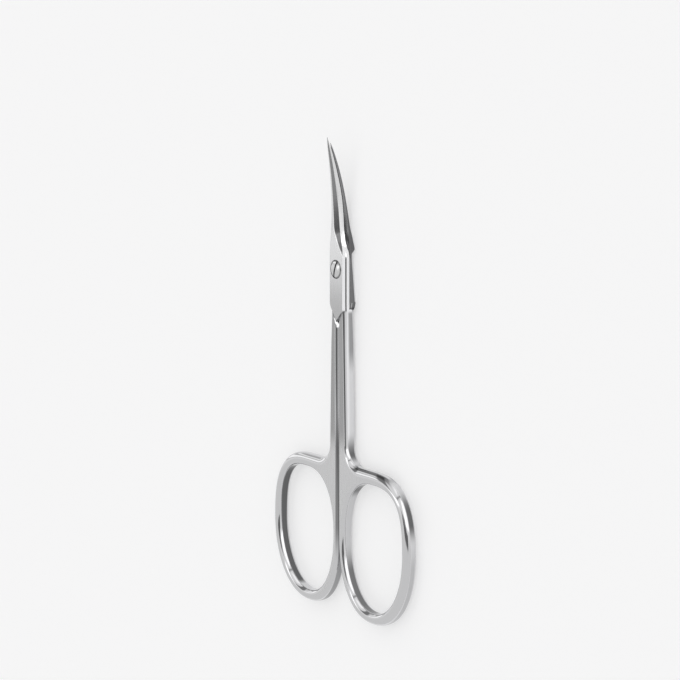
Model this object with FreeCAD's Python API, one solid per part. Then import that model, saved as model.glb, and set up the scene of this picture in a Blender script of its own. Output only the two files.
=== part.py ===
import FreeCAD, Part
import math
import os

# Cuticle scissors, lying flat: +Y runs towards the tips, +Z is the screw head's side, +X is the side of the
# front half's ring. The origin is on the pivot axis, at the plane that the scissors lie on. Sizes are in mm.

# lap: the flat part of each half round the pivot
lapHalfWidth = 2.6
lapThickness = 1.8
lapTop = 2.5
lapSideEnd = -7.0
lapNeckX = 1.46
lapNeckDrop = 2.4
lapPointDrop = 2.2
lapShoulderDrop = 1.9
lapBevel = 0.3
lapGap = 0.06
shoulderGap = 0.35

# shank and finger ring
steelThickness = 2.92
midlineGap = 0.1
shankFootWidth = 3.25
footRadius = 4.3
ringCentreY = -58.3
holeOuterReach = 11.1
holeInnerReach = 10.12
holeRise = 12.9
holeDrop = 15.2
innerLimb = 2.1
outerLimb = 2.6
topLimb = 2.93
bottomLimb = 2.55
holeShape = {"outerTop": 2.9, "innerTop": 2.3, "innerBottom": 2.15, "outerBottom": 2.05}
rimShape = {"outerTop": 2.46, "innerBottom": 2.28, "outerBottom": 2.15}
shankEdgeRadius = 0.85
ringEdgeRadius = 1.2
holeEdgeRadius = 0.95
midlineEdgeRadius = 0.5
shoulderEdgeGrowth = 0.35
shoulderFade = 4.5

# blades: both bend towards the screw head's side on one arc
bendStart = 6.8
bendRadius = 61.0
frontTipY = 28.4
rearTipY = 27.2

# pivot screw
screwHeadDiameter = 3.9
screwHeadRim = 0.25
screwHeadRecess = 0.1
screwHeadCrown = 0.45
screwShoulderDiameter = 2.6
screwThreadDiameter = 2.2
screwEndRecess = 0.15
slotWidth = 0.7
slotDepth = 0.6
slotLean = 20.0
runningClearance = 0.03
threadClearance = 0.01
headClearance = 0.05

meetZ = lapThickness
steelTop = meetZ + steelThickness / 2
steelBottom = meetZ - steelThickness / 2
lapNeckY = lapSideEnd - lapNeckDrop
lapPointY = lapNeckY - lapPointDrop
lapShoulderY = lapSideEnd - lapShoulderDrop
shoulderEndY = lapPointY - shoulderFade
innerX = midlineGap / 2
ringCentreX = innerX + innerLimb + holeInnerReach
ringTopY = ringCentreY + holeRise + topLimb
ringBottomY = ringCentreY - holeDrop - bottomLimb
ringOuterX = ringCentreX + holeOuterReach + outerLimb

# rounded edges leave a little flat on the steel between them
roundShare = 0.48
fullRound = roundShare * steelThickness
ringRound = min(ringEdgeRadius, fullRound, roundShare * min(outerLimb, topLimb, bottomLimb))
holeRound = min(holeEdgeRadius, fullRound, roundShare * min(innerLimb, outerLimb, topLimb, bottomLimb))
midlineRound = min(midlineEdgeRadius, fullRound, roundShare * innerLimb)
shankRound = min(shankEdgeRadius, fullRound)

# lengths below this count as nothing
tiny = 1e-3


def vec(x, y, z=0.0):
    return FreeCAD.Vector(x, y, z)


def line(a, b):
    return Part.LineSegment(a, b).toShape()


quarterSteps = 8


# Quarter of a superellipse about (cx, cy), from its end on the X axis to its end on the Y axis.
def quarter(cx, cy, reachX, reachY, power, z):
    points = []
    for i in range(quarterSteps + 1):
        turn = i / quarterSteps * math.pi / 2
        x = cx + reachX * math.cos(turn) ** (2 / power) if i < quarterSteps else cx
        y = cy + reachY * math.sin(turn) ** (2 / power) if i > 0 else cy
        points.append(vec(x, y, z))
    curve = Part.BSplineCurve()
    along = math.copysign(1.0, reachY)
    across = -math.copysign(1.0, reachX)
    curve.interpolate(Points=points, InitialTangent=vec(0, along), FinalTangent=vec(across, 0))
    return curve.toShape()


# The shank's outer edge runs straight from the side of the lap to the foot above the ring.
def shankEdgeX(y):
    footY = ringTopY + footRadius
    share = (lapSideEnd - y) / (lapSideEnd - footY)
    return lapHalfWidth + (shankFootWidth - lapHalfWidth) * share


# Outline of one shank and ring, as a list of edges that starts across the top of the shank.
def plateOutline(z):
    top = lapSideEnd
    slope = shankEdgeX(top - 1.0) - shankEdgeX(top)
    length = math.hypot(slope, 1.0)
    outward = vec(1.0 / length, slope / length)
    footCentreY = ringTopY + footRadius
    footCentreX = shankEdgeX(footCentreY - outward.y * footRadius) + outward.x * footRadius
    shankFoot = vec(footCentreX - outward.x * footRadius, footCentreY - outward.y * footRadius, z)
    ringFoot = vec(footCentreX, ringTopY, z)
    diagonal = vec(outward.x, outward.y + 1.0).normalize()
    footMiddle = vec(footCentreX - diagonal.x * footRadius, footCentreY - diagonal.y * footRadius, z)
    topInner = vec(innerX, top, z)
    topOuter = vec(shankEdgeX(top), top, z)
    fadeInner = vec(innerX, shoulderEndY, z)
    fadeOuter = vec(shankEdgeX(shoulderEndY), shoulderEndY, z)
    rimTop = vec(ringCentreX, ringTopY, z)
    innerReach = ringCentreX - innerX
    outerReach = ringOuterX - ringCentreX
    drop = ringCentreY - ringBottomY
    rise = ringTopY - ringCentreY
    return [
        line(topOuter, topInner),
        line(topInner, fadeInner),
        line(fadeInner, vec(innerX, ringCentreY, z)),
        quarter(ringCentreX, ringCentreY, -innerReach, -drop, rimShape["innerBottom"], z),
        quarter(ringCentreX, ringCentreY, outerReach, -drop, rimShape["outerBottom"], z),
        quarter(ringCentreX, ringCentreY, outerReach, rise, rimShape["outerTop"], z),
        line(rimTop, ringFoot),
        Part.Arc(ringFoot, footMiddle, shankFoot).toShape(),
        line(shankFoot, fadeOuter),
        line(fadeOuter, topOuter),
    ]


def holeOutline(z):
    return [
        quarter(ringCentreX, ringCentreY, holeOuterReach, holeRise, holeShape["outerTop"], z),
        quarter(ringCentreX, ringCentreY, -holeInnerReach, holeRise, holeShape["innerTop"], z),
        quarter(ringCentreX, ringCentreY, -holeInnerReach, -holeDrop, holeShape["innerBottom"], z),
        quarter(ringCentreX, ringCentreY, holeOuterReach, -holeDrop, holeShape["outerBottom"], z),
    ]


def wireOf(edges):
    return Part.Wire(Part.__sortEdges__(edges))


def prism(edges, height):
    return Part.Face(wireOf(edges)).extrude(vec(0, 0, height))


# Radius of the rounded edge at a corner of the plate's outline. It grows beside the end of the lap.
def edgeRadiusAt(point):
    growth = shoulderEdgeGrowth if point.y > shoulderEndY + tiny else 0.0
    if abs(point.x - innerX) < tiny:
        return min(midlineRound + growth, fullRound)
    if point.y > ringTopY + footRadius / 2:
        return min(shankRound + growth, fullRound)
    return ringRound


# Rounds the rim of the plate, with a radius that changes along the outline.
def roundRim(plate):
    document = FreeCAD.newDocument("rim")
    base = document.addObject("Part::Feature", "base")
    base.Shape = plate
    rounded = document.addObject("Part::Fillet", "rounded")
    rounded.Base = base
    radii = []
    for number, edge in enumerate(plate.Edges, 1):
        box = edge.BoundBox
        level = box.ZLength < tiny
        topEnd = box.YMin > lapSideEnd - tiny
        if level and not topEnd:
            first = edgeRadiusAt(edge.firstVertex(True).Point)
            last = edgeRadiusAt(edge.lastVertex(True).Point)
            # the upper edges of an extrusion run against the outline
            if box.ZMin > meetZ:
                first, last = last, first
            radii.append((number, first, last))
    rounded.Edges = radii
    document.recompute()
    shape = rounded.Shape.copy()
    FreeCAD.closeDocument(document.Name)
    return shape


# Shank and finger ring of the front half: one plate with rounded edges.
def shankAndRing():
    plate = roundRim(prism(plateOutline(steelBottom), steelThickness))
    plate = plate.cut(prism(holeOutline(steelBottom), steelThickness)).Solids[0]
    holeBox = wireOf(holeOutline(steelBottom)).BoundBox
    holeBox.enlarge(tiny)
    holeEdges = []
    for edge in plate.Edges:
        box = edge.BoundBox
        inHole = holeBox.XMin < box.XMin and box.XMax < holeBox.XMax
        inHole = inHole and holeBox.YMin < box.YMin and box.YMax < holeBox.YMax
        if box.ZLength < tiny and inHole:
            holeEdges.append(edge)
    return plate.makeFillet(holeRound, holeEdges)


# Outline of the front half's lap. Its lower end is a V, one side of which runs on into the shank.
def lapOutline(z):
    neckDrop = lapSideEnd - lapNeckY
    neckStep = lapHalfWidth - lapNeckX
    neckRadius = (neckStep ** 2 + neckDrop ** 2) / (2 * neckStep)
    half = math.asin(neckDrop / neckRadius) / 2
    neckMiddle = vec(-lapHalfWidth + neckRadius * (1 - math.cos(half)), lapSideEnd - neckRadius * math.sin(half), z)
    topLeft = vec(-lapHalfWidth, lapTop, z)
    sideEnd = vec(-lapHalfWidth, lapSideEnd, z)
    neck = vec(-lapNeckX, lapNeckY, z)
    point = vec(0, lapPointY, z)
    shoulder = vec(shankEdgeX(lapShoulderY), lapShoulderY, z)
    rightEnd = vec(lapHalfWidth, lapSideEnd, z)
    topRight = vec(lapHalfWidth, lapTop, z)
    return [
        line(topLeft, sideEnd),
        Part.Arc(sideEnd, neckMiddle, neck).toShape(),
        line(neck, point),
        line(point, shoulder),
        line(shoulder, rightEnd),
        line(rightEnd, topRight),
        line(topRight, topLeft),
    ]


def lap():
    bottom = meetZ + lapGap / 2
    block = prism(lapOutline(bottom), lapThickness - lapGap / 2)
    faceEdges = []
    for edge in block.Edges:
        box = edge.BoundBox
        onFace = box.ZMin > meetZ + lapThickness - tiny
        if onFace and box.YMin < lapTop - tiny:
            faceEdges.append(edge)
    return block.makeChamfer(lapBevel, faceEdges)


def turnOver(shape):
    turned = shape.copy()
    turned.rotate(vec(0, 0, meetZ), vec(0, 1, 0), 180)
    return turned


# Room that the other half's lap needs, in the front half's shank.
def otherLapRoom():
    outline = wireOf(lapOutline(meetZ + lapGap / 2)).makeOffset2D(shoulderGap)
    room = Part.Face(outline).extrude(vec(0, 0, lapThickness))
    room.translate(vec(0, 0, -lapGap))
    return turnOver(room)


# Height of the surface where the blades meet, above the lap's, at a distance along the blade.
def bend(y):
    past = max(0.0, y - bendStart)
    return bendRadius - math.sqrt(bendRadius ** 2 - past ** 2)


# Everything on the screw head's side of the meeting surface, or on the other side.
def sideOfMeeting(front):
    reach = frontTipY + lapHalfWidth
    offset = lapGap / 2 if front else -lapGap / 2
    radius = bendRadius - offset
    centre = vec(0, bendStart, meetZ + bendRadius)
    turn = math.asin((reach - bendStart) / radius)

    def onArc(angle):
        return centre + vec(0, radius * math.sin(angle), -radius * math.cos(angle))

    far = onArc(turn)
    start = vec(0, -reach, meetZ + offset)
    level = far.z + reach if front else meetZ - reach
    edges = [
        line(start, onArc(0)),
        Part.Arc(onArc(0), onArc(turn / 2), far).toShape(),
        line(far, vec(0, far.y, level)),
        line(vec(0, far.y, level), vec(0, -reach, level)),
        line(vec(0, -reach, level), start),
    ]
    face = Part.Face(wireOf(edges))
    face.translate(vec(-reach, 0, 0))
    return face.extrude(vec(2 * reach, 0, 0))


# Stations of a blade, from the lap's own section to the tip. Each row holds its share of the blade's length and
# four corners from the spine to the ridge, then the cutting edge. Places along X are shares of the lap's half
# width, and heights are shares of the lap's thickness.
bevelIn = 1.0 - lapBevel / lapHalfWidth
bevelUp = 1.0 - lapBevel / lapThickness
frontStations = [
    (0.0, (-1.0, bevelUp), (-bevelIn, 1.0), (bevelIn, 1.0), (1.0, bevelUp), 1.0),
    (0.046, (-0.99, 0.84), (-0.88, 0.995), (0.79, 0.995), (0.92, 0.8), 0.95),
    (0.097, (-0.945, 0.875), (-0.865, 0.985), (0.4, 0.985), (0.54, 0.64), 0.58),
    (0.147, (-0.885, 0.885), (-0.825, 0.965), (0.08, 0.965), (0.28, 0.5), 0.33),
    (0.266, (-0.77, 0.855), (-0.735, 0.9), (-0.37, 0.9), (0.13, 0.54), 0.25),
    (0.475, (-0.6, 0.72), (-0.58, 0.745), (-0.415, 0.745), (0.03, 0.47), 0.27),
    (0.726, (-0.4, 0.49), (-0.38, 0.51), (-0.29, 0.51), (0.01, 0.32), 0.16),
    (0.892, (-0.23, 0.255), (-0.22, 0.27), (-0.18, 0.27), (0.015, 0.167), 0.105),
    (1.0, (-0.03, 0.036), (-0.026, 0.04), (-0.018, 0.04), (0.0, 0.025), 0.015),
]
rearStations = [
    (0.0, (-1.0, bevelUp), (-bevelIn, 1.0), (bevelIn, 1.0), (1.0, bevelUp), 1.0),
    (0.065, (-0.99, 0.8), (-0.86, 0.9), (0.6, 0.965), (0.87, 0.6), 0.95),
    (0.15, (-0.93, 0.6), (-0.75, 0.65), (-0.1, 0.86), (0.18, 0.45), 0.36),
    (0.28, (-0.72, 0.37), (-0.62, 0.41), (-0.2, 0.72), (0.05, 0.38), 0.25),
    (0.5, (-0.58, 0.2), (-0.5, 0.24), (-0.14, 0.54), (0.08, 0.28), 0.24),
    (0.76, (-0.4, 0.14), (-0.34, 0.16), (-0.09, 0.34), (0.02, 0.18), 0.1),
    (0.94, (-0.25, 0.08), (-0.22, 0.09), (-0.1, 0.17), (-0.05, 0.09), -0.02),
    (1.0, (-0.19, 0.03), (-0.18, 0.033), (-0.165, 0.036), (-0.155, 0.02), -0.15),
]


# Blade from stations, with its spine at -X and its outer faces towards +Z, before the meeting surface is cut.
def blade(stations, tipY, upwards):
    below = lapThickness
    sections = []
    for along, spine, shelf, land, ridge, edge in stations:
        y = lapTop + along * (tipY - lapTop)
        base = meetZ + upwards * bend(y)
        spineX = spine[0] * lapHalfWidth
        edgeX = edge * lapHalfWidth
        corners = [vec(x * lapHalfWidth, y, base + h * lapThickness) for x, h in (spine, shelf, land, ridge)]
        points = [vec(spineX, y, base - below)] + corners + [vec(edgeX, y, base), vec(edgeX, y, base - below)]
        sections.append(Part.makePolygon(points + points[:1]))
    return Part.makeLoft(sections, True, False)


def halfBlank():
    plate = shankAndRing().cut(otherLapRoom())
    return plate.fuse(lap())


def frontHalf():
    ground = blade(frontStations, frontTipY, 1).common(sideOfMeeting(True))
    steel = halfBlank().fuse(ground).cut(screwSeat())
    return steel.removeSplitter()


def rearHalf():
    ground = turnOver(blade(rearStations, rearTipY, -1)).common(sideOfMeeting(False))
    tapped = Part.makeCylinder(screwThreadDiameter / 2 + threadClearance, meetZ, vec(0, 0, 0))
    steel = turnOver(halfBlank()).fuse(ground).cut(tapped)
    return steel.removeSplitter()


# Turns a profile of (radius, height) points about the pivot axis, with a crown of this rise on its last face.
def turned(profile, crown=0.0):
    points = [vec(radius, 0, z) for radius, z in profile]
    edges = [line(a, b) for a, b in zip(points, points[1:])]
    rim = points[-1]
    if crown > 0:
        top = vec(0, 0, rim.z + crown)
        ball = (rim.x ** 2 + crown ** 2) / (2 * crown)
        half = math.asin(rim.x / ball) / 2
        middle = vec(ball * math.sin(half), 0, top.z - ball * (1 - math.cos(half)))
        edges.append(Part.Arc(rim, middle, top).toShape())
    else:
        top = vec(0, 0, rim.z)
        edges.append(line(rim, top))
    edges.append(line(top, points[0]))
    return Part.Face(wireOf(edges)).revolve(vec(0, 0, 0), vec(0, 0, 1), 360)


# Bore and countersink in the front half's lap, with running room for the screw.
def screwSeat():
    faceZ = meetZ + lapThickness
    headRadius = screwHeadDiameter / 2 + headClearance
    boreRadius = screwShoulderDiameter / 2 + runningClearance
    coneZ = faceZ - screwHeadRecess - screwHeadRim - headClearance
    return turned([
        (0, meetZ - lapGap),
        (boreRadius, meetZ - lapGap),
        (boreRadius, coneZ - (headRadius - boreRadius)),
        (headRadius, coneZ),
        (headRadius, faceZ + lapGap),
    ])


def pivotScrew():
    headRadius = screwHeadDiameter / 2
    shoulderRadius = screwShoulderDiameter / 2
    threadRadius = screwThreadDiameter / 2
    headZ = meetZ + lapThickness - screwHeadRecess
    coneZ = headZ - screwHeadRim
    seatZ = meetZ - lapGap / 2
    body = turned([
        (0, screwEndRecess),
        (threadRadius, screwEndRecess),
        (threadRadius, seatZ),
        (shoulderRadius, seatZ),
        (shoulderRadius, coneZ - (headRadius - shoulderRadius)),
        (headRadius, coneZ),
        (headRadius, headZ),
    ], screwHeadCrown)
    slotTop = headZ + screwHeadCrown
    slot = Part.makeBox(slotWidth, 2 * screwHeadDiameter, slotDepth)
    slot.translate(vec(-slotWidth / 2, -screwHeadDiameter, slotTop - slotDepth))
    slot.rotate(vec(0, 0, 0), vec(0, 0, 1), -slotLean)
    return body.cut(slot)


os.makedirs("parts", exist_ok=True)
pieces = {"front_half": frontHalf(), "rear_half": rearHalf(), "pivot_screw": pivotScrew()}
for name, shape in pieces.items():
    solids = shape.Solids
    print(name, "valid" if shape.isValid() else "not valid", len(solids), "solid", round(shape.Volume, 2), "mm3")
    solids[0].exportStep("parts/" + name + ".step")
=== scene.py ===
import bmesh
import bpy
import math
from mathutils import Matrix, Vector


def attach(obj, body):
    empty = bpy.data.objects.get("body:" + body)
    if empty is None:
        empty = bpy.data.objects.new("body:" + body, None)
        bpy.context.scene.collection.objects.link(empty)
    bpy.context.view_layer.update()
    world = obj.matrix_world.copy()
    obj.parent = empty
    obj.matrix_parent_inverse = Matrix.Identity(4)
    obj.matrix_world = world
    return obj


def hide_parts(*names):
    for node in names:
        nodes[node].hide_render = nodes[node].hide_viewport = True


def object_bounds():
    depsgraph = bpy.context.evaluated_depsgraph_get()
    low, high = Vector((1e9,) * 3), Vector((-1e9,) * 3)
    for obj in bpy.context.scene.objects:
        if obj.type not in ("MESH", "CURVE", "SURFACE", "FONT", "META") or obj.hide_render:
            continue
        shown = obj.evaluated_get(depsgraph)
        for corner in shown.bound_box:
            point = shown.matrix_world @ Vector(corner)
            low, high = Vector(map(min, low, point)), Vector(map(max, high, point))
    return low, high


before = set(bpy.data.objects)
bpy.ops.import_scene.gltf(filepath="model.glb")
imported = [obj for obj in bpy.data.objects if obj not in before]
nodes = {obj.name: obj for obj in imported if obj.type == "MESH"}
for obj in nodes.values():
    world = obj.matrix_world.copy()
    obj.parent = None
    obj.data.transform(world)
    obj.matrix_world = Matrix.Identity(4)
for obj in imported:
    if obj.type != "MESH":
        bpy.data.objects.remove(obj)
cadLow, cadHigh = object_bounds()
millimetre = 0.001
toMillimetres = 1.0 / millimetre
print("frame loaded:", ", ".join(sorted(nodes)))


# One socket of a shader, so that sums read as plain expressions.
class Sock:
    def __init__(self, tree, out):
        self.tree = tree
        self.out = out

    def maths(self, operation, a, b):
        made = self.tree.nodes.new("ShaderNodeMath")
        made.operation = operation
        for place, value in zip(made.inputs, (a, b)):
            if isinstance(value, Sock):
                self.tree.links.new(value.out, place)
            else:
                place.default_value = value
        return Sock(self.tree, made.outputs[0])

    def __add__(self, other):
        return self.maths("ADD", self, other)

    def __radd__(self, other):
        return self.maths("ADD", other, self)

    def __sub__(self, other):
        return self.maths("SUBTRACT", self, other)

    def __rsub__(self, other):
        return self.maths("SUBTRACT", other, self)

    def __mul__(self, other):
        return self.maths("MULTIPLY", self, other)

    def __rmul__(self, other):
        return self.maths("MULTIPLY", other, self)

    def __abs__(self):
        return self.maths("ABSOLUTE", self, 0.0)


# A node tree. node() adds any node but a sum: its type, its settings, then its sockets.
class Tree:
    def __init__(self, tree):
        self.tree = tree
        self.tree.nodes.clear()

    def node(self, kind, settings=None, sockets=None, out=0):
        made = self.tree.nodes.new("ShaderNode" + kind)
        for key, value in (settings or {}).items():
            setattr(made, key, value)
        for key, value in (sockets or {}).items():
            place = made.inputs[key]
            if isinstance(value, Sock):
                self.tree.links.new(value.out, place)
            else:
                place.default_value = value
        return Sock(self.tree, made.outputs[out]) if made.outputs else made

    # 0 up to start, 1 from end on, and smooth between. start may be the larger of the two.
    def rise(self, value, start, end):
        return self.node("MapRange", {"interpolation_type": "SMOOTHSTEP"}, {
            "Value": value, "From Min": start, "From Max": end, "To Min": 0.0, "To Max": 1.0})

    # 1 inside a soft-edged stretch on both sides of nought, 0 outside it
    def within(self, value, half, soft):
        return self.rise(abs(value), half + soft / 2, half - soft / 2)

    def parts(self, vector):
        return [self.node("SeparateXYZ", None, {"Vector": vector}, out=i) for i in range(3)]

    def grey(self, level):
        return self.node("CombineColor", None, {"Red": level, "Green": level, "Blue": level})

    # two colours mixed. 0, 6 and 7 are the places of its colour sockets, and 2 is the place of the result.
    def blend(self, share, first, second, kind="MIX"):
        settings = {"data_type": "RGBA", "blend_type": kind}
        return self.node("Mix", settings, {0: share, 6: first, 7: second}, out=2)

    # a colour made lighter or darker by a factor
    def shade(self, colour, factor):
        return self.blend(1.0, colour, self.grey(factor), "MULTIPLY")


class Finish(Tree):
    def __init__(self, name):
        self.material = bpy.data.materials.new(name)
        self.material.use_nodes = True
        super().__init__(self.material.node_tree)

    def finish(self, shader):
        self.node("OutputMaterial", None, {"Surface": shader})
        return self.material


# The photograph's view, as seen from the screw head's side.
view = {
    "turn": 55.40,            # degrees from the lap's face towards the front half's ring
    "rise": 8.46,             # degrees towards the tips
    "distance": 0.4673,
    "focalPixels": 2168.3,
    "pivotPixel": (342.68, 268.77),
    "framePixels": 680,
    "sensor": 36.0,
    "pivotHeight": 0.0018,
    "clip": (0.01, 100.0),
}


def makeCamera():
    turn = math.radians(view["turn"])
    rise = math.radians(view["rise"])
    back = Vector((math.sin(turn) * math.cos(rise), math.sin(rise), math.cos(turn) * math.cos(rise)))
    up = Vector((0, 1, 0)) - back * back.y
    up.normalize()
    right = up.cross(back)
    pivot = Vector((0, 0, view["pivotHeight"]))
    perPixel = view["distance"] / view["focalPixels"]
    middle = view["framePixels"] / 2
    across = (view["pivotPixel"][0] - middle) * perPixel
    above = (middle - view["pivotPixel"][1]) * perPixel
    camera = bpy.data.objects.new("camera", bpy.data.cameras.new("camera"))
    bpy.context.scene.collection.objects.link(camera)
    camera.data.sensor_width = view["sensor"]
    camera.data.lens = view["focalPixels"] / view["framePixels"] * view["sensor"]
    camera.data.clip_start, camera.data.clip_end = view["clip"]
    place = pivot + back * view["distance"] - right * across - up * above
    camera.matrix_world = Matrix.Translation(place) @ Matrix((right, up, back)).transposed().to_4x4()
    bpy.context.scene.camera = camera


makeCamera()
print("camera placed")

# Pale floor under a soft pale sky. Soft-edged patches of the sky are light boxes and dark flags.
studio = {
    "floorColour": (0.60, 0.60, 0.603, 1.0),
    "floorLift": 0.42,        # glow that only the camera and reflections see
    "floorRough": 0.9,
    "floorShine": 0.1,
    "floorReach": 30.0,
    "floorDrop": 0.00001,
    "lowSky": 0.75,
    "highSky": 0.90,
    "skyTurn": (-0.22, 0.02),
    # middle across, middle up, half length, half width, lean in degrees, softness, level
    "patches": {
        "leftFlag": (-0.65, 0.52, 0.11, 0.38, 0.0, 0.08, 0.22),
        "slantFlag": (0.10, 0.62, 0.50, 0.035, 45.0, 0.05, 0.40),
        "middleFlag": (0.17, 0.055, 0.30, 0.135, 0.0, 0.07, 0.30),
        "lowFlag": (0.21, -0.092, 0.47, 0.098, -3.0, 0.04, 0.15),
        "slantBox": (-0.42, 0.10, 0.30, 0.06, 32.0, 0.04, 1.55),
        "topBox": (-0.10, 0.84, 0.24, 0.13, 0.0, 0.10, 1.20),
        "rightBox": (0.70, 0.45, 0.30, 0.36, 0.0, 0.08, 1.50),
        "edgeLine": (-0.88, 0.055, 0.13, 0.022, 0.0, 0.03, 0.55),
        "edgeBox": (-0.88, 0.17, 0.13, 0.07, 0.0, 0.05, 1.25),
        "edgeStripe": (-0.88, 0.32, 0.13, 0.035, 0.0, 0.04, 0.55),
        "edgeStrip": (-0.88, 0.41, 0.13, 0.04, 0.0, 0.04, 1.15),
        "edgeFlag": (-0.88, 0.56, 0.13, 0.09, 0.0, 0.06, 0.60),
    },
}


def makeFloor():
    reach = studio["floorReach"]
    z = cadLow.z - studio["floorDrop"]
    corners = [(-reach, -reach, z), (reach, -reach, z), (reach, reach, z), (-reach, reach, z)]
    mesh = bpy.data.meshes.new("floor")
    mesh.from_pydata(corners, [], [(0, 1, 2, 3)])
    floor = bpy.data.objects.new("floor", mesh)
    bpy.context.scene.collection.objects.link(floor)
    paper = Finish("paper")
    rays = ("Is Camera Ray", "Is Glossy Ray", "Is Transmission Ray")
    seen = sum(paper.node("LightPath", out=ray) for ray in rays)
    shader = paper.node("BsdfPrincipled", None, {
        "Base Color": studio["floorColour"],
        "Roughness": studio["floorRough"],
        "Specular IOR Level": studio["floorShine"],
        "Emission Color": paper.grey(seen * studio["floorLift"]),
        "Emission Strength": 1.0,
    })
    mesh.materials.append(paper.finish(shader))


def makeSky():
    world = bpy.data.worlds.new("studio")
    bpy.context.scene.world = world
    world.use_nodes = True
    sky = Tree(world.node_tree)
    x, y = sky.parts(sky.node("TexCoord", out="Generated"))[:2]
    low = studio["lowSky"]
    level = low + sky.rise(y, *studio["skyTurn"]) * (studio["highSky"] - low)
    for across, up, halfLength, halfWidth, lean, soft, patch in studio["patches"].values():
        c = math.cos(math.radians(lean))
        d = math.sin(math.radians(lean))
        u = (x - across) * c + (y - up) * d
        v = (y - up) * c - (x - across) * d
        mask = sky.within(u, halfLength, soft) * sky.within(v, halfWidth, soft)
        level = level + mask * (patch - level)
    light = sky.node("Background", None, {"Color": sky.grey(level), "Strength": 1.0})
    sky.node("OutputWorld", None, {"Surface": light})


makeFloor()
makeSky()
print("floor and sky made")

# Flat part of a half round the pivot, in millimetres. The other sizes of the halves follow below it.
lap = {
    "halfWidth": 2.6,
    "thickness": 1.8,
    "top": 2.5,
    "sideEnd": -7.0,
    "neckX": 1.46,
    "neckY": -9.4,
    "pointY": -11.6,
    "shoulderY": -8.9,
    "bevel": 0.3,
    "gap": 0.06,
    "neckSteps": 10,
    "roomGap": 0.35,          # room round the other half's lap, in the shank
    "roomLow": -1.0,
    "roomOver": 0.02,
    "crisp": 0.035,           # width of the small flats that catch light along sharp edges
    "crispShare": 0.3,        # they take no more than this share of a face
    "fade": 0.06,             # share of the blade over which the lap's own section fades out
    "ledgeShares": (0.45, 0.55),
    "leastEdge": 0.001,
}
meetZ = lap["thickness"]

# Shank and finger ring.
ring = {
    "thickness": 2.92,
    "innerX": 0.05,
    "plateTop": -8.3,
    "footWidth": 3.25,
    "footRadius": 4.3,
    "centreX": 12.27,
    "centreY": -58.3,
    "rise": 15.83,
    "drop": 17.75,
    "outerReach": 13.7,
    "holeOuter": 11.1,
    "holeInner": 10.12,
    "holeRise": 12.9,
    "holeDrop": 15.2,
    "rimPowers": (2.28, 2.15, 2.46),
    "holePowers": (2.9, 2.3, 2.15, 2.05),
    # a rounding is how far it reaches in from the edge, and how deep it goes
    "shankRound": (0.75, 0.85),
    "holeRound": (0.85, 0.95),
    "holeRoundLow": (1.1, 1.1),
    "midlineRound": (1.0, 1.0),
    "barShare": 0.58,         # the ring's outer rounding takes this share of the bar, up to barReach
    "barShareLow": 0.48,
    "barTurn": (-64.0, -50.0),
    "barReach": 1.85,
    "barDepth": 1.25,
    "shoulderGrowth": 0.35,
    "fadeTop": -7.0,
    "fadeEnd": -16.1,
    "quarterSteps": 44,
    "roundSteps": 9,
    "midlineSteps": (10, 20),
    "topSteps": 6,
    "footSteps": 24,
    "sideSteps": (14, 12),
    "hide": 0.08,             # how far the top of the shank draws in, inside the lap
    "hideReach": 1.6,
}


def smooth(value, low, high):
    t = min(max((value - low) / (high - low), 0.0), 1.0)
    return t * t * (3 - 2 * t)


def spaced(first, last, count):
    return [first + (last - first) * i / count for i in range(count + 1)]


def shankX(y):
    footY = ring["centreY"] + ring["rise"] + ring["footRadius"]
    share = (lap["sideEnd"] - y) / (lap["sideEnd"] - footY)
    return lap["halfWidth"] + (ring["footWidth"] - lap["halfWidth"]) * share


# Quarter of a superellipse from its X end to its Y end, as places and outward directions.
def quarter(reachX, reachY, power):
    rows = []
    for i in range(ring["quarterSteps"] + 1):
        turn = i / ring["quarterSteps"] * math.pi / 2
        u = max(math.cos(turn), 0.0) ** (2 / power)
        v = math.sin(turn) ** (2 / power)
        place = Vector((ring["centreX"] + reachX * u, ring["centreY"] + reachY * v))
        out = Vector((u ** (power - 1) / reachX, v ** (power - 1) / reachY)).normalized()
        rows.append((place, out))
    return rows


def growthAt(y):
    share = (y - ring["fadeEnd"]) / (ring["fadeTop"] - ring["fadeEnd"])
    return ring["shoulderGrowth"] * min(max(share, 0.0), 1.0)


def mixed(first, last, share):
    return tuple(a + (b - a) * share for a, b in zip(first, last))


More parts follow.
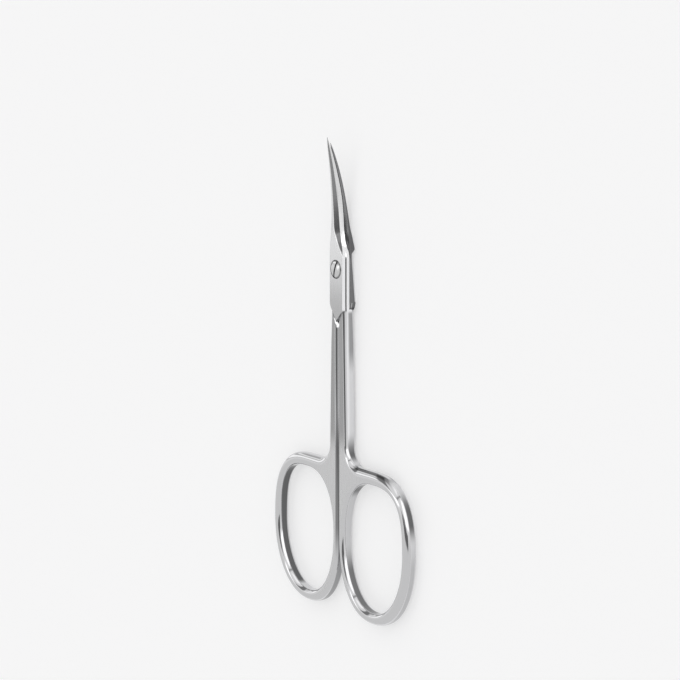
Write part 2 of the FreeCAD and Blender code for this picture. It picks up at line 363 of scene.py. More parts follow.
# Outer edge of shank and ring, anticlockwise from the top of the midline. Each row is a place, its outward
# direction and its rounding.
def plateEdge():
    holePlaces = [row[0] for row in holeEdge()]

    def barRound(place):
        width = min((place - other).length for other in holePlaces)
        high = smooth(place.y, *ring["barTurn"])
        share = ring["barShareLow"] + (ring["barShare"] - ring["barShareLow"]) * high
        return min(ring["barReach"], share * width), ring["barDepth"]

    fadeSteps, lowSteps = ring["midlineSteps"]
    innerYs = spaced(ring["plateTop"], ring["fadeEnd"], fadeSteps)[:-1]
    innerYs += spaced(ring["fadeEnd"], ring["centreY"], lowSteps)[:-1]
    midline = ring["midlineRound"]
    edge = [(Vector((ring["innerX"], y)), Vector((-1.0, 0.0)), midline) for y in innerYs]
    innerPower, outerPower, topPower = ring["rimPowers"]
    inner = quarter(ring["innerX"] - ring["centreX"], -ring["drop"], innerPower)
    for i, (place, out) in enumerate(inner):
        edge.append((place, out, mixed(midline, barRound(place), i / ring["quarterSteps"])))
    rows = quarter(ring["outerReach"], -ring["drop"], outerPower)[::-1][1:]
    rows += quarter(ring["outerReach"], ring["rise"], topPower)[1:]
    slope = shankX(-1.0) - shankX(0.0)
    sideOut = Vector((1.0, slope)).normalized()
    ringTop = ring["centreY"] + ring["rise"]
    footRadius = ring["footRadius"]
    centre = Vector((0.0, ringTop + footRadius))
    centre.x = shankX(centre.y - sideOut.y * footRadius) + sideOut.x * footRadius
    for x in spaced(ring["centreX"], centre.x, ring["topSteps"])[1:-1]:
        rows.append((Vector((x, ringTop)), Vector((0.0, 1.0))))
    edge += [(place, out, barRound(place)) for place, out in rows]
    barEnd = edge[-1][2]
    footSteps = ring["footSteps"]
    for i, angle in enumerate(spaced(math.pi / 2, math.atan2(sideOut.y, sideOut.x), footSteps)):
        out = Vector((math.cos(angle), math.sin(angle)))
        edge.append((centre - out * footRadius, out, mixed(barEnd, ring["shankRound"], i / footSteps)))
    sideSteps, neckSteps = ring["sideSteps"]
    outerYs = spaced(edge[-1][0].y, ring["fadeEnd"], sideSteps)[1:-1]
    outerYs += spaced(ring["fadeEnd"], ring["plateTop"], neckSteps)
    hideFrom = lap["shoulderY"] - ring["hideReach"]
    for y in outerYs:
        x = shankX(y) - ring["hide"] * smooth(y, hideFrom, ring["plateTop"])
        edge.append((Vector((x, y)), sideOut, tuple(size + growthAt(y) for size in ring["shankRound"])))
    return edge


# Edge of the finger hole, clockwise, so that its faces look into the hole.
def holeEdge():
    outerTop, innerTop, innerBottom, outerBottom = ring["holePowers"]
    rows = quarter(ring["holeOuter"], ring["holeRise"], outerTop)
    rows += quarter(-ring["holeInner"], ring["holeRise"], innerTop)[::-1][1:]
    rows += quarter(-ring["holeInner"], -ring["holeDrop"], innerBottom)[1:]
    rows += quarter(ring["holeOuter"], -ring["holeDrop"], outerBottom)[::-1][1:-1]
    edge = []
    for place, out in rows[::-1]:
        high = smooth(place.y, *ring["barTurn"])
        edge.append((place, -out, mixed(ring["holeRoundLow"], ring["holeRound"], high)))
    return edge


def keyOf(place):
    return tuple(round(value, 4) for value in place)


# Rounded wall along an edge: columns of vertices from the top face to the bottom one. It notes true normals.
def roundedWall(bm, edge, closed, normals):
    top = meetZ + ring["thickness"] / 2
    bottom = meetZ - ring["thickness"] / 2
    steps = ring["roundSteps"]
    turns = [math.pi / 2 * i / steps for i in range(steps + 1)]
    turns += [math.pi / 2 + turn for turn in turns]
    columns = []
    for place, out, (reach, depth) in edge:
        column = []
        for i, turn in enumerate(turns):
            spot = place - out * reach * (1 - math.sin(turn))
            drop = depth * (1 - abs(math.cos(turn)))
            z = top - drop if i <= steps else bottom + drop
            vert = bm.verts.new((spot.x, spot.y, z))
            facing = out * math.sin(turn) / reach
            normals[keyOf(vert.co)] = Vector((facing.x, facing.y, math.cos(turn) / depth)).normalized()
            column.append(vert)
        columns.append(column)
    pairs = list(zip(columns, columns[1:]))
    if closed:
        pairs.append((columns[-1], columns[0]))
    for a, b in pairs:
        for i in range(len(turns) - 1):
            bm.faces.new((a[i], a[i + 1], b[i + 1], b[i]))
    return columns


def edgesOf(bm, loop):
    return [bm.edges.get((a, b)) for a, b in zip(loop, loop[1:] + loop[:1])]


def newPiece(bm, name):
    mesh = bpy.data.meshes.new(name)
    bm.to_mesh(mesh)
    bm.free()
    piece = bpy.data.objects.new(name, mesh)
    bpy.context.scene.collection.objects.link(piece)
    return piece


def buildPlate(normals):
    bm = bmesh.new()
    rim = roundedWall(bm, plateEdge(), False, normals)
    hole = roundedWall(bm, holeEdge(), True, normals)
    bm.faces.new(rim[-1] + rim[0][::-1])
    for row, facing in ((0, 1.0), (-1, -1.0)):
        loops = edgesOf(bm, [c[row] for c in rim]) + edgesOf(bm, [c[row] for c in hole])
        bmesh.ops.triangle_fill(bm, use_beauty=True, edges=loops, normal=(0, 0, facing))
    bmesh.ops.recalc_face_normals(bm, faces=bm.faces[:])
    return newPiece(bm, "plate")


# Outline of the lap, anticlockwise from its top left corner. Its lower end is a V.
def lapOutline():
    half = lap["halfWidth"]
    drop = lap["sideEnd"] - lap["neckY"]
    step = half - lap["neckX"]
    radius = (step ** 2 + drop ** 2) / (2 * step)
    sweep = math.asin(drop / radius)
    points = [Vector((-half, lap["top"]))]
    for turn in spaced(0.0, sweep, lap["neckSteps"]):
        x = radius * (1 - math.cos(turn)) - half
        points.append(Vector((x, lap["sideEnd"] - radius * math.sin(turn))))
    points.append(Vector((0.0, lap["pointY"])))
    points.append(Vector((shankX(lap["shoulderY"]), lap["shoulderY"])))
    points.append(Vector((half, lap["sideEnd"])))
    points.append(Vector((half, lap["top"])))
    return points


# Outline moved inwards, with mitred corners. Its two ends stay on the line across the top.
def inset(points, depth):
    moved = []
    last = len(points) - 1
    for i, point in enumerate(points):
        before = point - points[max(i - 1, 0)] if i > 0 else points[1] - point
        after = points[min(i + 1, last)] - point if i < last else before
        a = Vector((-before.y, before.x)).normalized()
        b = Vector((-after.y, after.x)).normalized()
        moved.append(point + (a + b) / (1 + a.dot(b)) * depth)
    return moved


# A blade's stations run from the lap's own section to the tip. Each has its share of the length, four corners
# from the spine to the ridge, and the cutting edge. Places are shares of the lap's half width, and heights
# of its thickness. Faces go round a section from its ridge side, and flats are on the corners before them.
finishOrder = ("plate", "ground", "bright", "paintedShade")
bevelIn = 1.0 - lap["bevel"] / lap["halfWidth"]
bevelEase = 0.015
bevelEdge = (bevelIn + bevelEase, 1.0 - bevelEase)
bevelSpine = (-bevelEdge[0], bevelEdge[1])
blades = {
    "front": {
        "tip": 28.4,
        "bends": 1.0,
        "footFlat": 0.035,
        "landFlat": 0.1,
        "ledgeTop": (0.24, 0.54),  # inset and height where the lap's steep upper side ends
        "ledgeLow": 0.43,          # height at which the small ledge under it meets the upright side
        "spineLedge": 1.0,
        "lapBevel": (bevelSpine, (-bevelIn, 1.0)),
        "faces": ["ground", "bright", "bright", "bright", "ground"] + ["plate"] * 5,
        "flats": ["bright"] * 5 + ["plate"] * 5,
        "stations": [
            (0.0, bevelSpine, (-bevelIn, 1.0), (bevelIn, 1.0), bevelEdge, 1.0),
            (0.046, (-0.94, 0.93), (-0.88, 0.995), (0.76, 0.995), (0.8, 0.8), 0.92),
            (0.097, (-0.945, 0.875), (-0.865, 0.985), (0.4, 0.985), (0.47, 0.55), 0.63),
            (0.147, (-0.885, 0.885), (-0.825, 0.965), (0.08, 0.965), (0.24, 0.44), 0.41),
            (0.266, (-0.77, 0.855), (-0.735, 0.9), (-0.37, 0.9), (0.13, 0.54), 0.25),
            (0.475, (-0.6, 0.72), (-0.58, 0.745), (-0.415, 0.745), (0.03, 0.47), 0.27),
            (0.726, (-0.4, 0.49), (-0.38, 0.51), (-0.29, 0.51), (0.01, 0.32), 0.16),
            (0.892, (-0.23, 0.255), (-0.22, 0.27), (-0.18, 0.27), (0.015, 0.167), 0.105),
            (1.0, (-0.03, 0.036), (-0.026, 0.04), (-0.018, 0.04), (0.0, 0.025), 0.015),
        ],
    },
    "rear": {
        "tip": 27.2,
        "bends": -1.0,
        "footFlat": 0.07,
        "landFlat": 0.035,
        "ledgeTop": (0.12, 0.44),
        "ledgeLow": 0.3,
        "spineLedge": 0.0,
        "lapBevel": ((-0.995, 0.78), (-0.89, 1.0)),
        # The rear blade's spine side takes the painted shade, which stands in for a dark reflection.
        "faces": ["ground", "bright", "bright", "bright", "ground"] + ["paintedShade"] * 3 + ["plate"] * 2,
        "flats": ["plate"] + ["bright"] * 4 + ["ground", "paintedShade", "paintedShade", "plate", "plate"],
        "stations": [
            (0.0, (-0.995, 0.33), (-0.56, 1.0), (bevelIn, 1.0), bevelEdge, 1.0),
            (0.035, (-0.97, 0.36), (-0.6, 0.86), (0.78, 0.985), (0.9, 0.85), 1.0),
            (0.075, (-0.96, 0.78), (-0.86, 0.88), (0.6, 0.965), (0.8, 0.62), 0.9),
            (0.15, (-0.93, 0.6), (-0.75, 0.65), (-0.1, 0.86), (0.18, 0.45), 0.36),
            (0.28, (-0.72, 0.37), (-0.62, 0.41), (-0.2, 0.72), (0.05, 0.38), 0.25),
            (0.5, (-0.58, 0.2), (-0.5, 0.24), (-0.14, 0.54), (0.08, 0.28), 0.24),
            (0.76, (-0.4, 0.14), (-0.34, 0.16), (-0.09, 0.34), (0.02, 0.18), 0.1),
            (0.94, (-0.25, 0.08), (-0.22, 0.09), (-0.1, 0.17), (-0.05, 0.09), -0.02),
            (1.0, (-0.19, 0.03), (-0.18, 0.033), (-0.165, 0.036), (-0.155, 0.02), -0.15),
        ],
    },
}
bladeRun = {
    "steps": 64,
    "crowding": 1.25,         # above 1, the steps are closer near the lap
    "bendStart": 6.8,
    "bendRadius": 61.0,
}


def bend(y):
    radius = bladeRun["bendRadius"]
    past = max(0.0, y - bladeRun["bendStart"])
    return radius - math.sqrt(radius ** 2 - past ** 2)


# Smooth value between the stations, that never swings past its neighbours.
def along(places, values, at):
    k = max(i for i in range(len(places) - 1) if places[i] <= at or i == 0)
    slopes = []
    for i in (k, k + 1):
        if i == 0 or i == len(places) - 1:
            j = min(i, len(places) - 2)
            slopes.append((values[j + 1] - values[j]) / (places[j + 1] - places[j]) if i else 0.0)
            continue
        a = (values[i] - values[i - 1]) / (places[i] - places[i - 1])
        b = (values[i + 1] - values[i]) / (places[i + 1] - places[i])
        slopes.append(2 * a * b / (a + b) if a * b > 0 else 0.0)
    width = places[k + 1] - places[k]
    t = (at - places[k]) / width
    start = values[k] * (1 + 2 * t) + width * slopes[0] * t
    stop = values[k + 1] * (3 - 2 * t) - width * slopes[1] * (1 - t)
    return start * (1 - t) ** 2 + stop * t ** 2


# Corners of a section, each cut by a small flat. They go from the top face round its right side to the
# bottom, and round its left side back to the top.
def crispSection(corners, widths):
    points = []
    count = len(corners)
    most = lap["crispShare"]
    for i, corner in enumerate(corners):
        before = corners[i - 1] - corner
        after = corners[(i + 1) % count] - corner
        width = min(widths[i], most * before.length, most * after.length)
        points.append(corner + before.normalized() * width)
        points.append(corner + after.normalized() * width)
    return points


# Section across the blade at a share of its length. share 0 is the lap's own section.
def bladeSection(blade, share):
    stations = blade["stations"]
    places = [row[0] for row in stations]
    y = lap["top"] + share * (blade["tip"] - lap["top"])
    base = meetZ + blade["bends"] * bend(y)

    def corner(column):
        x = along(places, [row[column][0] for row in stations], share) * lap["halfWidth"]
        z = base + along(places, [row[column][1] for row in stations], share) * lap["thickness"]
        return Vector((x, y, z))

    cut = along(places, [row[5] for row in stations], share) * lap["halfWidth"]
    return sectionPoints(blade, base, share, [corner(column) for column in range(1, 5)], cut)


def sectionPoints(blade, base, share, uppers, cut):
    spine, shelf, land, ridge = uppers
    under = base + lap["gap"] / 2
    edge = Vector((cut, spine.y, min(under, ridge.z - lap["leastEdge"])))
    foot = Vector((spine.x, spine.y, min(under, spine.z - lap["leastEdge"])))
    crisp = lap["crisp"]
    started = smooth(share, 0.0, lap["fade"])
    footFlat = crisp + (blade["footFlat"] - crisp) * started
    landFlat = crisp + (blade["landFlat"] - crisp) * started
    high, low = ledge(blade, ridge, edge, 1.0, base, 1.0 - started)
    highLeft, lowLeft = ledge(blade, spine, foot, -1.0, base, (1.0 - started) * blade["spineLedge"])
    corners = [land, ridge, high, low, edge, foot, lowLeft, highLeft, spine, shelf]
    return crispSection(corners, [landFlat] + [crisp] * 4 + [footFlat] + [crisp] * 4)


# Two corners of the small ledge on the lap's side. They fade into a straight side along the blade.
def ledge(blade, top, bottom, side, base, fade):
    depth, height = blade["ledgeTop"]
    high = Vector((side * (lap["halfWidth"] - depth), top.y, base + height * lap["thickness"]))
    low = Vector((side * lap["halfWidth"], top.y, base + blade["ledgeLow"] * lap["thickness"]))
    highShare, lowShare = lap["ledgeShares"]
    return top.lerp(bottom, highShare).lerp(high, fade), top.lerp(bottom, lowShare).lerp(low, fade)


# Section where the lap's straight spine side ends, with the bevel that it has there.
def lapCorner(blade):
    y = lap["sideEnd"]
    half = lap["halfWidth"]
    places = blade["lapBevel"] + ((bevelIn, 1.0), bevelEdge)
    uppers = [Vector((x * half, y, meetZ + z * lap["thickness"])) for x, z in places]
    return sectionPoints(blade, meetZ, 0.0, uppers, half)


# Lap and blade as one closed mesh: rows round the lap's outline, whose two ends run on as blade sections.
def buildLap(blade):
    bm = bmesh.new()
    shares = spaced(0.0, 1.0, bladeRun["steps"])
    sections = [bladeSection(blade, share ** bladeRun["crowding"]) for share in shares]
    first = sections[0]
    count = len(first)
    rows = count // 2
    outline = lapOutline()
    loops = [inset(outline, lap["halfWidth"] - point.x) for point in first[:rows]]
    columns = [[bm.verts.new(point) for point in first[:rows - 1:-1]]]
    columns.append([bm.verts.new(point) for point in lapCorner(blade)[:rows - 1:-1]])
    for j in range(2, len(outline)):
        columns.append([bm.verts.new((loops[i][j].x, loops[i][j].y, first[i].z)) for i in range(rows)])
    for a, b in zip(columns, columns[1:]):
        for i in range(rows - 1):
            bm.faces.new((a[i], a[i + 1], b[i + 1], b[i]))
    bm.faces.new([c[0] for c in columns])
    bm.faces.new([c[-1] for c in columns][::-1])
    finishes = [finishOrder.index(name) for pair in zip(blade["flats"], blade["faces"]) for name in pair]
    last = columns[-1] + columns[0][::-1]
    for section in sections[1:]:
        loop = [bm.verts.new(point) for point in section]
        for i in range(count):
            j = (i + 1) % count
            face = bm.faces.new((last[i], last[j], loop[j], loop[i]))
            face.material_index = finishes[i]
        last = loop
    bm.faces.new(last)
    bmesh.ops.recalc_face_normals(bm, faces=bm.faces[:])
    return newPiece(bm, "lap")


# Straight-sided block over an outline, for the room that the other half's lap needs.
def buildRoom():
    outline = [Vector((-p.x, p.y)) for p in lapOutline()][::-1]
    outline = inset(outline, -lap["roomGap"])
    bm = bmesh.new()
    roomTop = meetZ + lap["gap"] / 2 + lap["roomOver"]
    low = [bm.verts.new((p.x, p.y, lap["roomLow"])) for p in outline]
    high = [bm.verts.new((p.x, p.y, roomTop)) for p in outline]
    count = len(outline)
    for i in range(count):
        j = (i + 1) % count
        bm.faces.new((low[i], low[j], high[j], high[i]))
    bm.faces.new(low[::-1])
    bm.faces.new(high)
    bmesh.ops.recalc_face_normals(bm, faces=bm.faces[:])
    return newPiece(bm, "room")


# Small facet on the inner side of the shank, beside the midline under the V.
facet = {
    "foot": -13.55,
    "facing": (-0.768, 0.303, -0.564),
    "block": 4.0,
    "upShare": 0.65,
}


# Block whose underside lies in the facet's plane.
def buildFacet():
    bm = bmesh.new()
    bmesh.ops.create_cube(bm, size=facet["block"])
    facing = Vector(facet["facing"]).normalized()
    corner = Vector((ring["innerX"], facet["foot"], meetZ - ring["thickness"] / 2))
    turn = facing.to_track_quat("Z", "Y").to_matrix().to_4x4()
    upward = (Vector((0.0, 1.0, 0.0)) - facing * facing.y).normalized()
    middle = corner + (upward * facet["upShare"] + facing / 2) * facet["block"]
    bmesh.ops.transform(bm, matrix=Matrix.Translation(middle) @ turn, verts=bm.verts)
    return newPiece(bm, "facet")


# Screw, and the hole and countersink that it sits in.
screw = {
    "headRadius": 1.95,
    "headRim": 0.25,
    "headRecess": 0.1,
    "crown": 0.42,
    "shoulderRadius": 1.3,
    "threadRadius": 1.1,
    "endRecess": 0.15,
    "endChamfer": 0.12,
    "slotWidth": 0.5,
    "slotDepth": 0.6,
    "slotLean": 20.0,
    "slotCut": 3.0,           # length of the slot's cut, in head radii
    "runningRoom": 0.03,
    "threadRoom": 0.01,
    "headRoom": 0.09,
    "cutOver": 0.5,           # how far the bores' cuts run past the steel
    "segments": 72,
    "crownSteps": 16,
}
faceZ = meetZ + lap["thickness"]


# Turns a profile of (radius, height) pairs about the pivot axis.
def buildTurned(profile, name):
    bm = bmesh.new()
    rings = []
    segments = screw["segments"]
    for radius, z in profile:
        if radius == 0:
            rings.append([bm.verts.new((0, 0, z))] * segments)
            continue
        turns = [2 * math.pi * i / segments for i in range(segments)]
        rings.append([bm.verts.new((radius * math.cos(t), radius * math.sin(t), z)) for t in turns])
    for a, b in zip(rings, rings[1:]):
        for i in range(segments):
            j = (i + 1) % segments
            corners = [a[i], a[j], b[j], b[i]]
            unique = [v for k, v in enumerate(corners) if v not in corners[:k]]
            bm.faces.new(unique)
    bmesh.ops.recalc_face_normals(bm, faces=bm.faces[:])
    return newPiece(bm, name)


# Gives a cutter the painted shade, so that the bore and countersink walls it leaves are painted dark as
# shade.
def withPaintedShade(piece):
    for face in piece.data.polygons:
        face.material_index = finishOrder.index("paintedShade")
    return piece


def buildSeat():
    head = screw["headRadius"] + screw["headRoom"]
    bore = screw["shoulderRadius"] + screw["runningRoom"]
    cone = faceZ - screw["headRecess"] - screw["headRim"] - screw["headRoom"]
    low = meetZ - screw["cutOver"]
    high = faceZ + screw["cutOver"]
    profile = [(0, low), (bore, low), (bore, cone - (head - bore)), (head, cone), (head, high), (0, high)]
    return withPaintedShade(buildTurned(profile, "seat"))


def buildTapping():
    bore = screw["threadRadius"] + screw["threadRoom"]
    low = meetZ - screw["cutOver"]
    high = faceZ + screw["cutOver"]
    return withPaintedShade(buildTurned([(0, low), (bore, low), (bore, high), (0, high)], "tapping"))


def combine(piece, other, operation):
    change = piece.modifiers.new(operation, "BOOLEAN")
    change.operation = operation
    change.solver = "EXACT"
    change.object = other
    depsgraph = bpy.context.evaluated_depsgraph_get()
    mesh = bpy.data.meshes.new_from_object(piece.evaluated_get(depsgraph))
    old = piece.data
    piece.modifiers.clear()
    piece.data = mesh
    bpy.data.meshes.remove(old)
    bpy.data.meshes.remove(other.data)


# Angles in degrees: a face takes a noted true normal within the first, and faces blend below the second.
shading = {"trueAngle": 16.0, "blendAngle": 50.0}


# Gives each corner its normal: the true one on the rounded steel, and elsewhere the mean by area of the faces
# that blend there, so that large faces stay flat and small edge flats look round.
def dressNormals(mesh, known):
    limit = math.cos(math.radians(shading["blendAngle"]))
    tight = math.cos(math.radians(shading["trueAngle"]))
    around = [[] for vert in mesh.vertices]
    for face in mesh.polygons:
        for vert in face.vertices:
            around[vert].append(face.index)
    facing = [face.normal.copy() for face in mesh.polygons]
    sizes = [face.area for face in mesh.polygons]
    normals = []
    for face in mesh.polygons:
        mine = facing[face.index]
        for vert in face.vertices:
            true = known.get(keyOf(mesh.vertices[vert].co))
            if true is not None and true.dot(mine) > tight:
                normals.append(true)
                continue
            total = Vector((0, 0, 0))
            for other in around[vert]:
                if facing[other].dot(mine) > limit:
                    total += facing[other] * sizes[other]
            normals.append(total.normalized())
    for face in mesh.polygons:
        face.use_smooth = True
    mesh.normals_split_custom_set(normals)


closeFit = 0.9999             # keeps the meshes a hair inside the solids' own box


# Brings a finished mesh to metres. The rear half is turned over about the plane where the laps meet.
def settled(piece, name, turnedOver):
    raised = Matrix.Translation((0, 0, meetZ))
    lowered = Matrix.Translation((0, 0, -meetZ))
    turn = Matrix.Rotation(math.pi if turnedOver else 0.0, 4, "Y")
    piece.data.transform(Matrix.Scale(millimetre, 4) @ raised @ turn @ Matrix.Scale(closeFit, 4) @ lowered)
    piece.name = name
    return piece


def buildHalf(name, blade, bore, turnedOver, finishes):
    known = {}
    piece = buildPlate(known)
    room = buildRoom()
    blank = buildLap(blade)
    corner = buildFacet()
    for part in (piece, room, corner, blank, bore):
        for finish in finishes:
            part.data.materials.append(finish)
    combine(piece, room, "DIFFERENCE")
    combine(piece, corner, "DIFFERENCE")
    combine(piece, blank, "UNION")
    combine(piece, bore, "DIFFERENCE")
    dressNormals(piece.data, known)
    return settled(piece, name, turnedOver)


# Stainless steel of shanks, rings and laps: polished rings and rounded edges, satin flats near the midline.
halfSteel = {
    "polished": (0.70, 0.70, 0.71, 1.0),
    "polishedRough": 0.06,
    "satin": (0.55, 0.55, 0.555, 1.0),
    "satinRough": 0.28,
    "satinReach": (11.0, 6.0),
    "satinTilt": (0.975, 0.995),
    "webPaintedLight": 1.25,          # painted light and shade of the satin between the rings, up the shank and on the lap
    "shankPaintedShade": 0.75,
    "shankTurn": (-41.0, -35.0),
    "lapPaintedLight": 1.5,
    "lapTurn": (-9.0, 3.0),
    "lapFace": (1.6, 1.7),
    "grainAcross": 4500.0,
    "grainAlong": 160.0,
    "grainTone": 0.06,
    "grainRough": 0.12,
    "polishedGrain": 0.2,     # share of the grain that still shows on the polish
}

# Places where the steel is painted lighter or darker, as painted reflections and painted shade. Each is a
# list of areas and soft limits that all count. A limit is what it reads, where it is 0 and where it is 1.
# right, up and tilt are how far the surface faces to +X, to +Y and to either flat side. outward tells
# whether it faces away from the ring's centre. The others are places in millimetres.
areas = {
    "lap": ("y", -9.6, -8.8),
    "ring": ("y", -43.0, -46.0),
    "inward": ("outward", 2.0, -2.0),
    "upright": ("tilt", 0.42, 0.15),
}
paintedLightZones = {
    "midline": [("x", 1.0, 0.6), ("tilt", 0.98, 0.93), ("y", -30.0, -40.0), ("y", -66.0, -56.0)],
    "slanted": ["ring", "offHole", ("right", 0.6, 0.9), ("tilt", 0.5, 0.25), ("up", 0.03, 0.25)],
    "foot": ["offRing", ("right", 0.5, 0.9), ("tilt", 0.3, 0.08), ("y", -35.0, -40.5)],
    "topBar": ["offHole", ("up", 0.45, 0.68), ("up", 0.97, 0.92), ("right", 0.5, 0.2), ("y", -41.0, -43.0)],
    "rim": ["ring", "offHole", "upright", ("right", -0.4, 0.1), ("up", 0.1, -0.1)],
    "hole": ["hole", "upright", ("right", 0.3, 0.5)],
    "holeTop": ["hole", "upright", ("up", -0.5, -0.75), ("right", 0.05, 0.25)],
    "holeLow": ["hole", "upright", ("up", 0.05, 0.35), ("right", -0.5, 0.0)],
    "side": ["lap", "upright", ("right", 0.6, 0.9)],
    "ledge": ["lap", ("tilt", 0.4, 0.6), ("right", 0.3, 0.5), ("z", 3.0, 2.9)],
    "notch": [("up", -0.3, -0.5), ("y", -12.5, -12.0), ("y", -8.0, -8.5)],
    "shankLow": ["offLap", "upright", ("right", 0.6, 0.9), ("y", -23.0, -17.0), ("z", 2.4, 1.8)],
    "shankHigh": ["offLap", "upright", ("right", 0.6, 0.9), ("y", -41.0, -36.0), ("z", 1.8, 2.4)],
}

# How light each half's painted reflections and painted shade make its steel there, 1 being its plain tone.
frontPaintedLight = {
    "midline": 0.4, "slanted": 0.22, "foot": 0.22, "topBar": 0.3, "rim": 0.75, "hole": 0.85, "holeTop": 0.3,
    "holeLow": 0.35, "side": 1.25, "ledge": 0.5, "notch": 0.5, "shankLow": 0.5, "shankHigh": 1.2,
}
rearPaintedLight = {
    "midline": 0.4, "slanted": 0.7, "topBar": 0.85, "rim": 0.5, "hole": 0.2, "side": 0.28, "notch": 0.4,
}
grainDetail = 2.0


# Fine lines along or across the steel, by about this many to the metre each way. They vary about nought.
def grain(f, place, across, along):
    scaled = f.node("VectorMath", {"operation": "MULTIPLY"}, {0: place, 1: (across, along, across)})
    sockets = {"Vector": scaled, "Scale": 1.0, "Detail": grainDetail}
    return f.node("TexNoise", {"noise_dimensions": "3D"}, sockets) - 0.5


def plateFinish(name, ringX, paintedLight):
    f = Finish(name)
    place = f.node("TexCoord", out="Object")
    x, y, z = (value * toMillimetres for value in f.parts(place))
    right, up, front = f.parts(f.node("TexCoord", out="Normal"))
    readings = {"x": abs(x), "y": y, "z": z, "right": right, "up": up, "tilt": abs(front)}
    readings["outward"] = (x - ringX) * right + (y - ring["centreY"]) * up

    def softLimit(limit):
        what, start, end = limit
        return f.rise(readings[what], start, end)

    masks = {area: softLimit(limit) for area, limit in areas.items()}
    masks["hole"] = masks["inward"] * masks["ring"]
    masks["offHole"] = 1.0 - masks["hole"]
    masks["offRing"] = 1.0 - masks["ring"]
    masks["offLap"] = 1.0 - masks["lap"]
    flatness = f.rise(readings["tilt"], *halfSteel["satinTilt"])
    satin = flatness * f.rise(readings["x"], *halfSteel["satinReach"])
    lines = grain(f, place, halfSteel["grainAcross"], halfSteel["grainAlong"])
    polishedGrain = halfSteel["polishedGrain"]
    tone = 1.0 + lines * (polishedGrain + satin * (1.0 - polishedGrain)) * halfSteel["grainTone"]
    # Each zone scales the steel's tone under its mask: a painted reflection or painted shade.
    for zone, shade in paintedLight.items():
        rules = [masks[rule] if isinstance(rule, str) else softLimit(rule) for rule in paintedLightZones[zone]]
        mask = math.prod(rules)
        tone = tone * (1.0 - mask * (1.0 - shade))
    # Painted light and shade on the satin: lighter between the rings, darker up the shank, lighter up the
    # lap.
    webPaintedLight = halfSteel["webPaintedLight"]
    platePaintedLight = webPaintedLight + f.rise(y, *halfSteel["shankTurn"]) * (halfSteel["shankPaintedShade"] - webPaintedLight)
    lapPaintedLight = 1.0 + f.rise(y, *halfSteel["lapTurn"]) * (halfSteel["lapPaintedLight"] - 1.0)
    onFace = f.rise(abs(z - meetZ), *halfSteel["lapFace"])
    satinColour = f.shade(halfSteel["satin"], platePaintedLight + onFace * (lapPaintedLight - platePaintedLight))
    base = f.blend(satin, halfSteel["polished"], satinColour)
    rough = halfSteel["polishedRough"] + satin * (halfSteel["satinRough"] - halfSteel["polishedRough"])
    shader = f.node("BsdfPrincipled", None, {
        "Base Color": f.shade(base, tone),
        "Metallic": 1.0,
        "Roughness": rough + lines * satin * halfSteel["grainRough"],
    })
    return f.finish(shader)


# Ground steel of the blades: colour, roughness, and the painted shade's lightness at its start near the
# pivot.
bladeSteel = {
    "finishes": {
        "ground": ((0.31, 0.31, 0.315, 1.0), 0.24, 0.55),
        "bright": ((0.88, 0.88, 0.885, 1.0), 0.12, 1.0),
        # painted shade: a dark reflection on the rear spine's side, and shade in the screw's bore and
        # countersink
        "paintedShade": ((0.15, 0.15, 0.153, 1.0), 0.24, 1.0),
    },
    "startTurn": (7.0, 8.6),
    "grainAcross": 300.0,
    "grainAlong": 6000.0,
    "grainTone": 0.2,
    "grainRough": 0.08,
}


def bladeFinish(name, colour, rough, startPaintedShade):
    f = Finish(name)
    place = f.node("TexCoord", out="Object")
    y = f.parts(place)[1] * toMillimetres
    lines = grain(f, place, bladeSteel["grainAcross"], bladeSteel["grainAlong"])
    tone = startPaintedShade + f.rise(y, *bladeSteel["startTurn"]) * (1.0 - startPaintedShade)
    shader = f.node("BsdfPrincipled", None, {
        "Base Color": f.shade(colour, (1.0 + lines * bladeSteel["grainTone"]) * tone),
        "Metallic": 1.0,
        "Roughness": rough + lines * bladeSteel["grainRough"],
    })
    return f.finish(shader)


bladeFinishes = {}
for key, values in bladeSteel["finishes"].items():
    bladeFinishes[key] = bladeFinish(key + "_steel", *values)


def finishesFor(name, ringX, paintedLight):
    made = {"plate": plateFinish(name, ringX, paintedLight), **bladeFinishes}
    return [made[key] for key in finishOrder]


frontFinishes = finishesFor("front_half_steel", ring["centreX"], frontPaintedLight)
rearFinishes = finishesFor("rear_half_steel", -ring["centreX"], rearPaintedLight)
frontPiece = buildHalf("front_half_steel", blades["front"], buildSeat(), False, frontFinishes)
rearPiece = buildHalf("rear_half_steel", blades["rear"], buildTapping(), True, rearFinishes)
for piece, node, body in ((frontPiece, "front_half", "front"), (rearPiece, "rear_half", "rear")):
    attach(piece, body)
    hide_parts(node)
    print(piece.name, len(piece.data.polygons), "faces")

# Satin screw head with fine turning rings, and a painted shade towards its edge.
screwSteel = {
    "colour": (0.72, 0.72, 0.72, 1.0),
    "rough": 0.16,
    "rim": (1.55, 1.8),
    "rimShade": 0.4,
    "turning": 2600.0,
    "turningWobble": 1.5,
    "turningDetail": 2.0,
    "turningTone": 0.1,
    "turningRough": 0.06,
    # the slot's darker colour is painted shade
    "slot": ((0.48, 0.48, 0.485, 1.0), 0.24, 1.0),
}


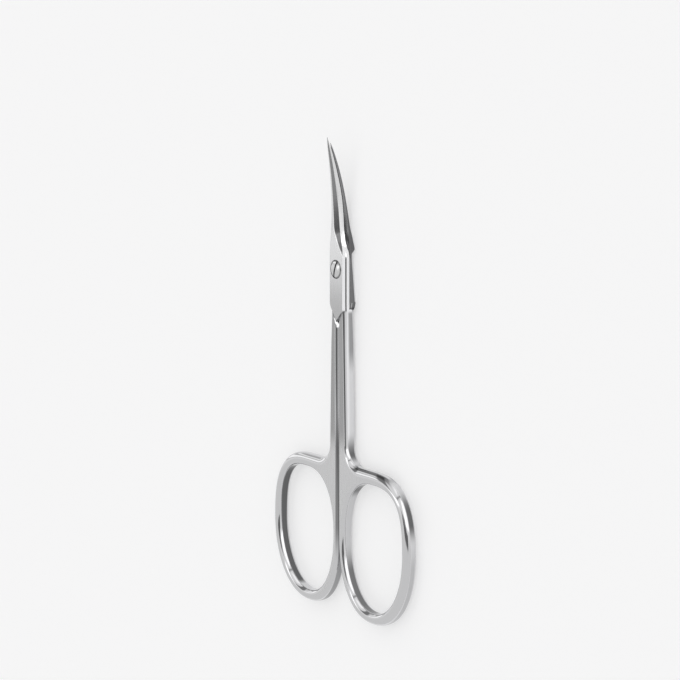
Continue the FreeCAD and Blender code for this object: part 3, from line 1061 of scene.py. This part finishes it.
def headFinish():
    f = Finish("screw_steel")
    place = f.node("TexCoord", out="Object")
    turning = f.node("TexWave", {"wave_type": "RINGS", "rings_direction": "Z"}, {
        "Vector": place,
        "Scale": screwSteel["turning"],
        "Distortion": screwSteel["turningWobble"],
        "Detail": screwSteel["turningDetail"],
    }, out="Fac") - 0.5
    toFace = (toMillimetres, toMillimetres, 0.0)
    flat = f.node("VectorMath", {"operation": "MULTIPLY"}, {0: place, 1: toFace})
    radius = f.node("VectorMath", {"operation": "LENGTH"}, {0: flat}, out="Value")
    # painted shade round the head's edge
    rimTone = 1.0 - f.rise(radius, *screwSteel["rim"]) * (1.0 - screwSteel["rimShade"])
    shader = f.node("BsdfPrincipled", None, {
        "Base Color": f.shade(screwSteel["colour"], (1.0 + turning * screwSteel["turningTone"]) * rimTone),
        "Metallic": 1.0,
        "Roughness": screwSteel["rough"] + turning * screwSteel["turningRough"],
    })
    return f.finish(shader)


# Screw with a domed head and a slot with a finish of its own: rougher steel, darker as painted shade.
def buildScrew():
    head = screw["headRadius"]
    rimTop = faceZ - screw["headRecess"]
    rimLow = rimTop - screw["headRim"]
    thread = screw["threadRadius"]
    shoulder = screw["shoulderRadius"]
    low = screw["endRecess"]
    chamfer = screw["endChamfer"]
    step = meetZ - lap["gap"] / 2
    crownTop = rimTop + screw["crown"]
    profile = [(0, low), (thread - chamfer, low), (thread, low + chamfer), (thread, step), (shoulder, step)]
    profile += [(shoulder, rimLow - (head - shoulder)), (head, rimLow), (head, rimTop)]
    for turn in spaced(0.0, math.pi / 2, screw["crownSteps"])[1:-1]:
        profile.append((head * math.cos(turn), rimTop + screw["crown"] * math.sin(turn)))
    profile.append((0, crownTop))
    piece = buildTurned(profile, "screw")
    bm = bmesh.new()
    bmesh.ops.create_cube(bm, size=1.0)
    for face in bm.faces:
        face.material_index = 1
    size = Matrix.Diagonal((screw["slotWidth"], screw["slotCut"] * head, 2 * screw["slotDepth"], 1.0))
    lean = Matrix.Rotation(math.radians(-screw["slotLean"]), 4, "Z")
    bmesh.ops.transform(bm, matrix=Matrix.Translation((0, 0, crownTop)) @ lean @ size, verts=bm.verts)
    slot = newPiece(bm, "slot")
    finishes = [headFinish(), bladeFinish("slot_painted_shade_steel", *screwSteel["slot"])]
    for part in (piece, slot):
        for finish in finishes:
            part.data.materials.append(finish)
    combine(piece, slot, "DIFFERENCE")
    dressNormals(piece.data, {})
    return settled(piece, "pivot_screw_steel", False)


screwPiece = buildScrew()
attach(screwPiece, "rear")
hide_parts("pivot_screw")
print(screwPiece.name, len(screwPiece.data.polygons), "faces")

bpy.context.scene.view_settings.view_transform = "Standard"
